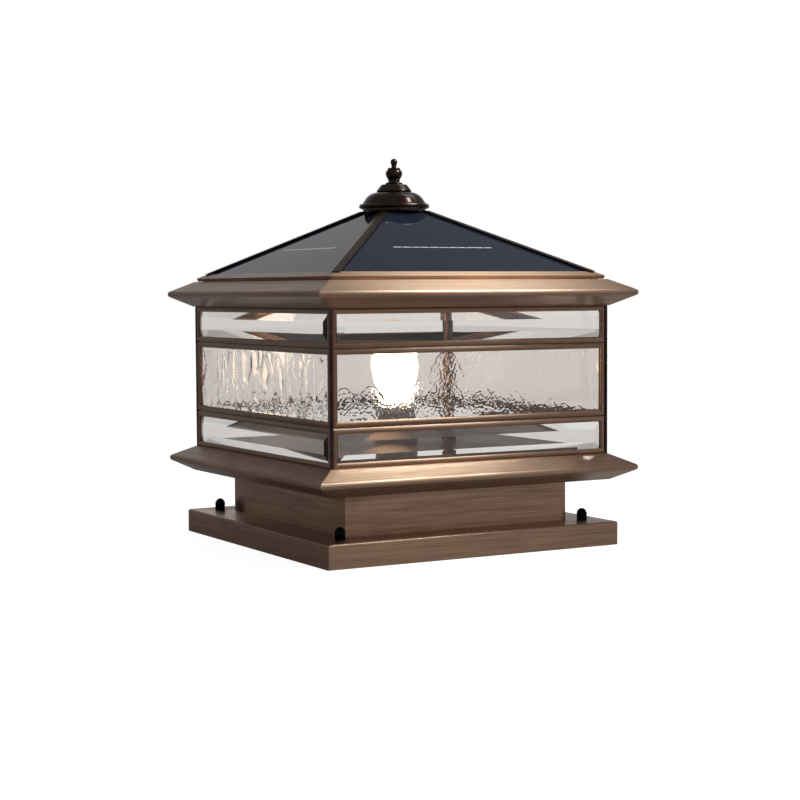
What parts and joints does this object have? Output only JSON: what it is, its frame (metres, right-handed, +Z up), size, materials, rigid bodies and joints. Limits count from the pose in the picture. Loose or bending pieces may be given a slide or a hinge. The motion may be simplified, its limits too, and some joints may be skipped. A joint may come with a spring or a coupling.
{
  "type": "solar pillar light",
  "caption": "Square solar light for a garden pillar: glazed lantern body between folded metal eaves, lift-off hipped roof of solar panels, turned finial.",
  "frame": {"origin": "bottom centre of the base, level with the underside of the mounting bars and the tray's rim", "axes": "+Z up; the face seen widest in the picture looks along -Y, the narrower seen face along -X"},
  "size_m": [0.3, 0.3, 0.3294],
  "materials": {
    "bronze_sheet": "brushed antique bronze plating under clear lacquer",
    "bronze_trim": "antique bronze plated frame bars, polished edges",
    "dark_bronze": "dark bronze lacquer, glossy",
    "black_nut": "black oxide steel, satin",
    "zinc_steel": "zinc plated steel",
    "bronze_rivet": "bronze coloured rivets",
    "clear_glass": "polished clear glass with ground bevels",
    "water_glass": "clear glass rolled with a rippled face",
    "bulb_glass": "thin blown glass",
    "solar_glass": "dark solar cells under smooth toughened glass",
    "cap_aluminium": "rolled screw cap",
    "filament": "lit filament strips",
    "grey_moulding": "grey moulded lampholder",
    "brass_sheet": "bare brass",
    "black_moulding": "black moulded plastic",
    "cell_wrap": "shrunk plastic sleeve",
    "board": "green solder mask",
    "white_moulding": "white nylon",
    "cord_cover": "soft black cord cover",
    "button_red": "red moulded button"
  },
  "bodies": {
    "lantern": {"base_tray": "bronze_sheet", "neck_shell": "bronze_sheet", "lower_eave": "bronze_sheet", "upper_eave": "bronze_sheet", "floor_plate": "bronze_sheet", "lower_frames": "bronze_trim", "middle_frames": "bronze_trim", "upper_frames": "bronze_trim", "cross_bars": "bronze_trim", "corner_posts": "dark_bronze", "cord_tube": "dark_bronze", "lock_nuts": "black_nut", "cap_nuts": "black_nut", "mounting_bars": "zinc_steel", "hold_down_studs": "zinc_steel", "lantern_screws": "zinc_steel", "roof_strap": "zinc_steel", "tie_rod": "zinc_steel", "rod_nut": "zinc_steel", "neck_rivets": "bronze_rivet", "lower_pane_front": "clear_glass", "lower_pane_right": "clear_glass", "lower_pane_back": "clear_glass", "lower_pane_left": "clear_glass", "upper_pane_front": "clear_glass", "upper_pane_right": "clear_glass", "upper_pane_back": "clear_glass", "upper_pane_left": "clear_glass", "middle_pane_front": "water_glass", "middle_pane_right": "water_glass", "middle_pane_back": "water_glass", "middle_pane_left": "water_glass", "lampholder_body": "grey_moulding", "lampholder_shell": "brass_sheet", "lampholder_contact": "brass_sheet", "lamp_socket": "black_moulding", "lamp_lead": "cord_cover"},
    "solar_head": {"roof_cover_plate": "bronze_sheet", "cover_screws": "zinc_steel", "roof_rim": "bronze_sheet", "solar_panel_front": "solar_glass", "solar_panel_right": "solar_glass", "solar_panel_back": "solar_glass", "solar_panel_left": "solar_glass", "hip_rails": "bronze_sheet", "apex_plate": "dark_bronze", "finial_bell": "dark_bronze", "finial_tier": "dark_bronze", "battery_holder": "black_moulding", "battery_cells": "cell_wrap", "controller_board": "board", "board_posts": "white_moulding", "switch_body": "black_moulding", "head_plug": "black_moulding", "head_leads": "cord_cover"},
    "finial": {"finial_knob": "dark_bronze"},
    "switch_button": {"switch_button": "button_red"},
    "bulb": {"bulb_cap": "cap_aluminium", "bulb_globe": "bulb_glass", "bulb_filaments": "filament"}
  },
  "joints": [
    {"name": "roof_lift", "type": "slide", "parent": "lantern", "child": "solar_head", "axis": [0, 0, 1], "range_m": [0, 0.105]},
    {"name": "finial_turn", "type": "hinge", "parent": "solar_head", "child": "finial", "pos_m": [0, 0, 0.31], "axis": [0, 0, 1], "continuous": true},
    {"name": "switch_press", "type": "slide", "parent": "solar_head", "child": "switch_button", "axis": [0, 0, 1], "range_m": [0, 0.002], "stiffness_N_per_m": 300, "springref_m": -0.001},
    {"name": "bulb_turn", "type": "hinge", "parent": "lantern", "child": "bulb", "pos_m": [0, 0, 0.1], "axis": [0, 0, 1], "continuous": true}
  ]
}
